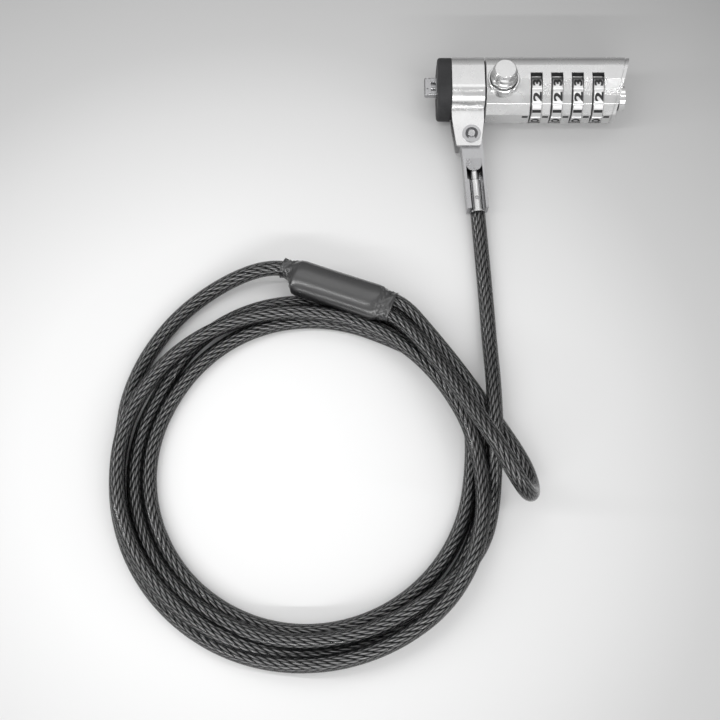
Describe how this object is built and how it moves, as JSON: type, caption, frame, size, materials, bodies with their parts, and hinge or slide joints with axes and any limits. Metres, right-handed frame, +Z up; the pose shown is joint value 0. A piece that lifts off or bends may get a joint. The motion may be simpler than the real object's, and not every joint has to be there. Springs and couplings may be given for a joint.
{
  "type": "laptop cable lock",
  "caption": "Combination laptop lock: number dials in a metal head with a push-button T-bar nose, swivelling collar and yoke, and a coiled jacketed steel cable with a crimped eye.",
  "frame": {"origin": "on the table, below the middle of the lock head, its collar and its yoke", "axes": "+Z up from the table; +X along the lock head from the T-bar to the slanted end; -Y towards the cable's coil"},
  "size_m": [0.1709, 0.2056, 0.0267],
  "materials": {
    "zinc": "satin plated casting",
    "polished": "polished",
    "steel": "satin",
    "dark_steel": "blackened",
    "dial": "satin with black numbers",
    "brass": "plain",
    "aluminium": "plain",
    "dark_plastic": "plain black",
    "number_paint": "black paint",
    "pad": "matte, fine grain",
    "sleeve": "soft sheen shrink tube",
    "jacket": "clear smoky jacket over steel strands"
  },
  "bodies": {
    "cable": {"cable_lead": "jacket", "cable_coil": "jacket", "cable_tail": "jacket", "cable_eye": "jacket", "shrink_sleeve": "sleeve", "eye_crimp": "aluminium", "end_ferrule": "polished", "ferrule_pin": "steel"},
    "yoke": {"yoke": "steel", "swivel_washer": "steel"},
    "collar": {"collar_band": "zinc", "collar_bushing": "dark_plastic", "rivet": "steel", "rivet_washer": "steel", "rivet_clip": "dark_steel"},
    "lock": {"body_shell": "zinc", "base_cover": "zinc", "base_screws": "dark_steel", "end_cover": "zinc", "end_screws": "dark_steel", "nose_plate": "steel", "nose_screws": "dark_steel", "nose_guard": "steel", "pad": "pad", "button_bezel": "polished", "button_spring": "steel", "dial_spacers": "dark_plastic", "spindle": "steel", "spindle_spring": "steel", "detent_spring": "steel"},
    "button": {"button": "zinc", "button_rack": "steel"},
    "tbar": {"tbar": "steel", "tbar_pinion": "steel"},
    "knob": {"end_knob": "polished"},
    "dial_1": {"dial_1": "dial", "dial_hub_1": "brass"},
    "dial_2": {"dial_2": "dial", "dial_hub_2": "brass"},
    "dial_3": {"dial_3": "dial", "dial_hub_3": "brass"},
    "dial_4": {"dial_4": "dial", "dial_hub_4": "brass"}
  },
  "joints": [
    {"name": "cable_swivel", "type": "hinge", "parent": "cable", "child": "yoke", "pos_m": [-0.0195, -0.00015, 0.00716], "axis": [0.0698, -0.989, -0.1302], "continuous": true},
    {"name": "yoke_pivot", "type": "hinge", "parent": "yoke", "child": "collar", "pos_m": [-0.0195, -0.00015, 0.00716], "axis": [0, -0.1305, 0.9914], "range_deg": [-65, 65]},
    {"name": "head_swivel", "type": "hinge", "parent": "collar", "child": "lock", "pos_m": [-0.02, 0.0176, 0.0095], "axis": [1, 0, 0], "continuous": true},
    {"name": "button_press", "type": "slide", "parent": "lock", "child": "button", "axis": [0, 0, -1], "range_m": [0, 0.00314], "stiffness_N_per_m": 800, "springref_m": -0.001, "deforming": ["button_spring"]},
    {"name": "tbar_turn", "type": "hinge", "parent": "lock", "child": "tbar", "pos_m": [-0.02, 0.0185, 0.0095], "axis": [1, 0, 0], "range_deg": [0, 90]},
    {"name": "dial_1_turn", "type": "hinge", "parent": "lock", "child": "dial_1", "pos_m": [0.00265, 0.0144, 0.0095], "axis": [1, 0, 0], "continuous": true},
    {"name": "dial_2_turn", "type": "hinge", "parent": "lock", "child": "dial_2", "pos_m": [0.0096, 0.0144, 0.0095], "axis": [1, 0, 0], "continuous": true},
    {"name": "dial_3_turn", "type": "hinge", "parent": "lock", "child": "dial_3", "pos_m": [0.01655, 0.0144, 0.0095], "axis": [1, 0, 0], "continuous": true},
    {"name": "dial_4_turn", "type": "hinge", "parent": "lock", "child": "dial_4", "pos_m": [0.0235, 0.0144, 0.0095], "axis": [1, 0, 0], "continuous": true},
    {"name": "knob_turn", "type": "hinge", "parent": "lock", "child": "knob", "pos_m": [0.032, 0.0144, 0.0095], "axis": [1, 0, 0], "range_deg": [0, 90]}
  ],
  "couplings": [
    {"joint": "tbar_turn", "follows": "button_press", "rad_per_m": 500}
  ]
}
